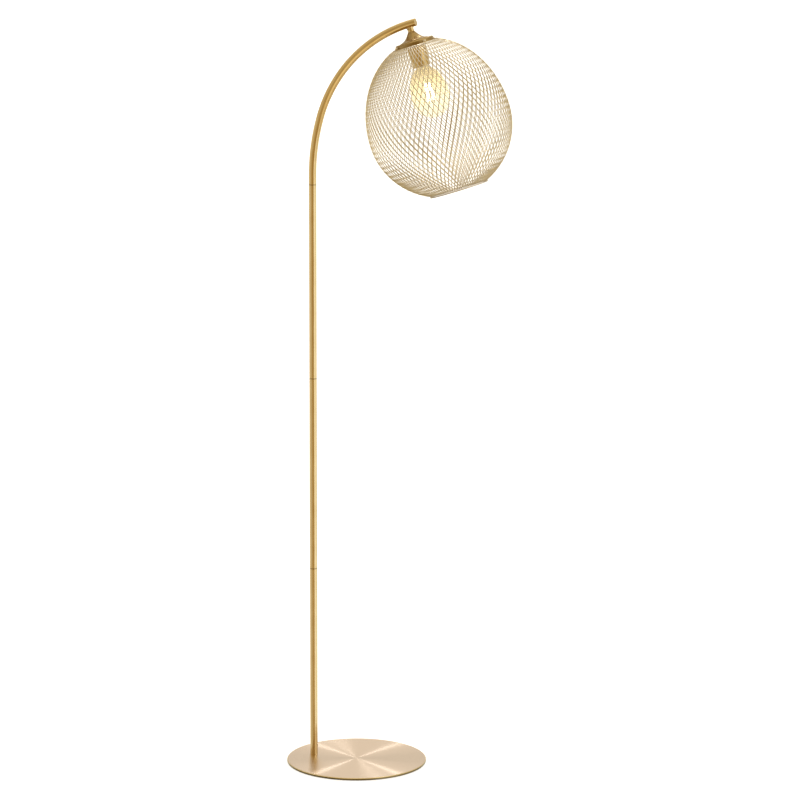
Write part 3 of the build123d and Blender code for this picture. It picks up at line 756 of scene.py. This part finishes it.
for radius, height in ((cone_radius, cap_high), (cone_radius - lip_width, cap_high - lip_drop)):
    for k in range(cap_steps):
        cap_points.append(neck_point(radius, 2 * math.pi * k / cap_steps, height))
for n in range(cap_rings + 2):
    for k in range(cap_steps):
        after = (k + 1) % cap_steps
        low, high = n * cap_steps, (n + 1) * cap_steps
        cap_faces.append((low + k, low + after, high + after, high + k))
plated_cap = mottled_material(
    "plated_cap", scale=500.0, dark=(0.55, 0.52, 0.45), light=(0.78, 0.75, 0.68),
    roughness=0.28, metallic=1.0,
)
bulb_screw_cap = mesh_piece("bulb_screw_cap", cap_points, cap_faces, plated_cap)
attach(bulb_screw_cap, "bulb")
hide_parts("bulb_cap")
finish_nodes(plated_cap, "bulb_contact")

black_glass = mottled_material(
    "black_glass", scale=500.0, dark=(0.01, 0.01, 0.012), light=(0.03, 0.028, 0.035),
    roughness=0.15,
)
finish_nodes(black_glass, "bulb_insulator")

# ---------------------------------------------------------------- bulb
# An 80 mm globe of amber glass, blown thin, round a clear glass stem that carries four lit strips on wires.
# The glass is deeper in colour towards the cap, and it looks fuller at its outline.
glass_low, glass_high = heights("bulb_glass")
swirl_scale = 25.0
swirl_share = 0.1
edge_weight = 0.35
level_weight = 0.3
thickest = 0.65
clearest_alpha = 0.3
fullest_alpha = 0.65
amber_glass = new_material("amber_glass")
tree, shader = amber_glass.node_tree, shader_of(amber_glass)
swirl = noise(tree, object_place(tree), swirl_scale)
level = spread(tree, parts_of(tree, neck_coordinate(tree))[2], glass_low, glass_high, 0, 1)
level = number_node(tree, "ADD", level, number_node(tree, "MULTIPLY", swirl, swirl_share))
glass_colour = colour_band(
    tree, level, [(0.3, (0.88, 0.87, 0.76)), (0.65, (0.84, 0.78, 0.58)), (0.95, (0.76, 0.67, 0.46))])
glow_colour = colour_band(
    tree, level, [(0.3, (0.90, 0.92, 0.78)), (0.6, (0.95, 0.91, 0.66)), (0.9, (0.84, 0.74, 0.47))])
tree.links.new(glass_colour, shader.inputs["Base Color"])
tree.links.new(glow_colour, shader.inputs["Emission Color"])
shader.inputs["Emission Strength"].default_value = 0.2
shader.inputs["Roughness"].default_value = 0.03
shader.inputs["IOR"].default_value = 1.45
edge = tree.nodes.new("ShaderNodeLayerWeight")
edge.inputs["Blend"].default_value = 0.4
edge_share = number_node(tree, "MULTIPLY", edge.outputs["Facing"], edge_weight)
level_share = number_node(tree, "MULTIPLY", level, level_weight)
thickness = number_node(tree, "ADD", edge_share, level_share)
alpha = spread(tree, thickness, 0, thickest, clearest_alpha, fullest_alpha)
tree.links.new(alpha, shader.inputs["Alpha"])
finish_nodes(amber_glass, "bulb_glass")

clear_glass = mottled_material(
    "clear_glass", scale=60.0, dark=(0.9, 0.92, 0.9), light=(1.0, 1.0, 0.98),
    roughness=0.02,
)
shader_of(clear_glass).inputs["Transmission Weight"].default_value = 1.0
finish_nodes(clear_glass, "bulb_stem")

lit_strip = new_material("lit_strip")
tree, shader = lit_strip.node_tree, shader_of(lit_strip)
beads = noise(tree, object_place(tree), 700.0)
bead_colour = colour_band(tree, beads, [(noise_low, (1.0, 0.62, 0.2)), (noise_high, (1.0, 0.8, 0.4))])
bead_glow = colour_band(tree, beads, [(noise_low, (1.0, 0.74, 0.36)), (noise_high, (1.0, 0.86, 0.55))])
tree.links.new(bead_colour, shader.inputs["Base Color"])
tree.links.new(bead_glow, shader.inputs["Emission Color"])
shader.inputs["Emission Strength"].default_value = 30.0
finish_nodes(lit_strip, "bulb_filaments")

drawn_wire = mottled_material(
    "drawn_wire", scale=900.0, dark=(0.45, 0.44, 0.42), light=(0.7, 0.68, 0.64),
    roughness=0.3, metallic=1.0,
)
finish_nodes(drawn_wire, "bulb_wires")

# ---------------------------------------------------------------- sizes
# The box round the lamp as it is drawn here, by its low and high corner, in metres.
low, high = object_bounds()
